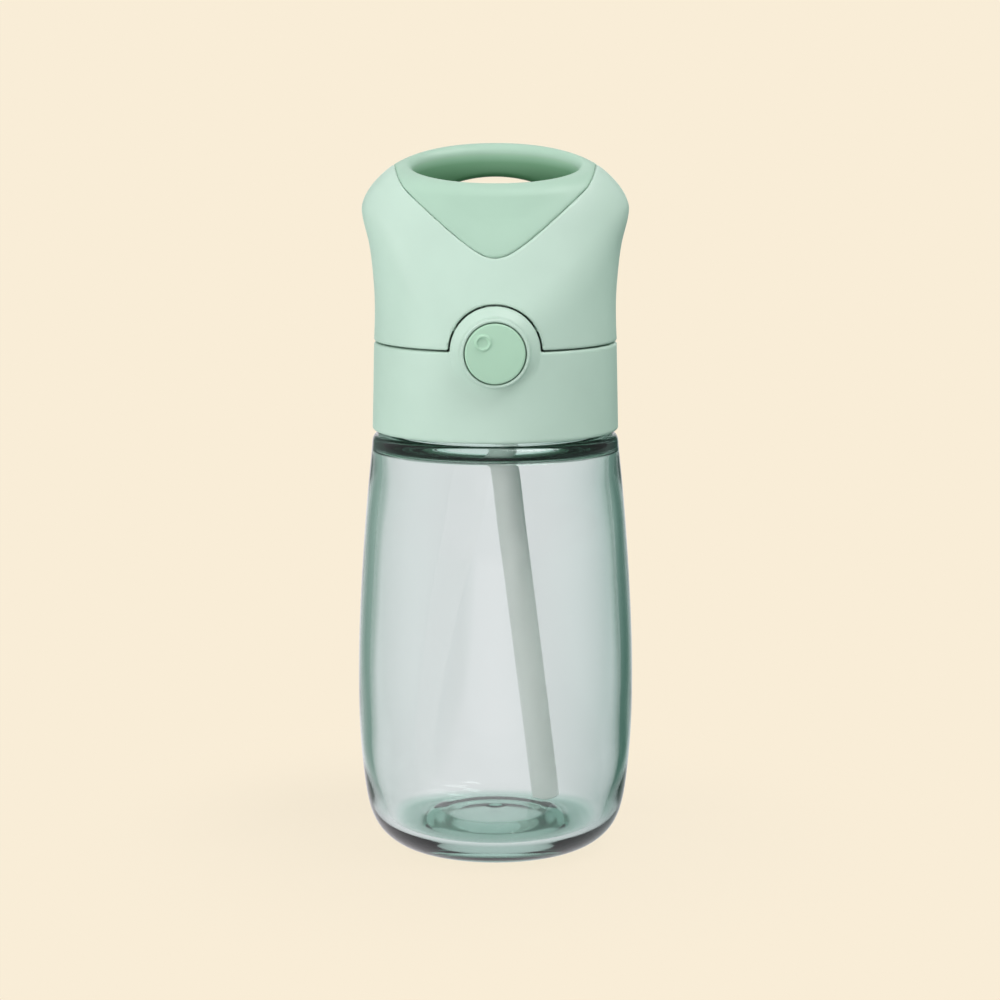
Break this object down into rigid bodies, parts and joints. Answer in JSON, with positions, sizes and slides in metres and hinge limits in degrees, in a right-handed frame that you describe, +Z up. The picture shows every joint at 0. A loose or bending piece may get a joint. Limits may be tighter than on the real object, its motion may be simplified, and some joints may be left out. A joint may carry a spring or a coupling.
{
  "type": "kids straw water bottle",
  "caption": "Small clear-bodied children's water bottle with a screw-on lid, a push-button flip cap with a finger loop on top, a soft mouthpiece and a leaning straw.",
  "frame": {"origin": "centre of the ring the bottle stands on, at table height", "axes": "+Z up along the bottle's axis, the push button faces -Y, the cap's hinge is at +Y, +X is to the right when the button faces you"},
  "size_m": [0.073, 0.073, 0.1863],
  "materials": {
    "vessel": "clear moulded copolyester with a faint green tint",
    "shell_mint": "fine satin moulded polypropylene, pale mint",
    "accent_mint": "fine satin moulded polypropylene, mid mint",
    "liner_mint": "moulded polypropylene",
    "core_mint": "moulded polypropylene",
    "silicone": "translucent food grade silicone",
    "steel": "stainless spring wire and pin"
  },
  "bodies": {
    "bottle": {"bottle": "vessel"},
    "lid_seal": {"lid_gasket": "silicone"},
    "lid": {"lid_collar": "shell_mint", "lid_core": "core_mint", "hinge_pin": "steel", "mouthpiece": "silicone", "straw": "silicone", "vent_valve": "silicone", "latch_cover": "core_mint", "button_spring": "steel", "hinge_spring": "steel"},
    "button": {"push_button": "accent_mint", "latch_slider": "core_mint"},
    "cap": {"cap_shell": "shell_mint", "handle_loop": "accent_mint", "cap_liner": "liner_mint", "spout_seal": "silicone"}
  },
  "joints": [
    {"name": "lid_lift", "type": "slide", "parent": "bottle", "child": "lid_seal", "axis": [0, 0, 1], "range_m": [0, 0.0046]},
    {"name": "lid_turn", "type": "hinge", "parent": "lid_seal", "child": "lid", "pos_m": [0, 0, 0.12], "axis": [0, 0, 1], "range_deg": [0, 180]},
    {"name": "button_press", "type": "slide", "parent": "lid", "child": "button", "axis": [0, 1, 0], "range_m": [0, 0.0018], "stiffness_N_per_m": 400, "springref_m": -0.0015, "deforming": ["button_spring"]},
    {"name": "cap_open", "type": "hinge", "parent": "lid", "child": "cap", "pos_m": [0, 0.0334, 0.1362], "axis": [-1, 0, 0], "range_deg": [0, 120], "deforming": ["hinge_spring"]}
  ],
  "couplings": [
    {"joint": "lid_lift", "follows": "lid_turn", "m_per_rad": 0.0014324}
  ]
}
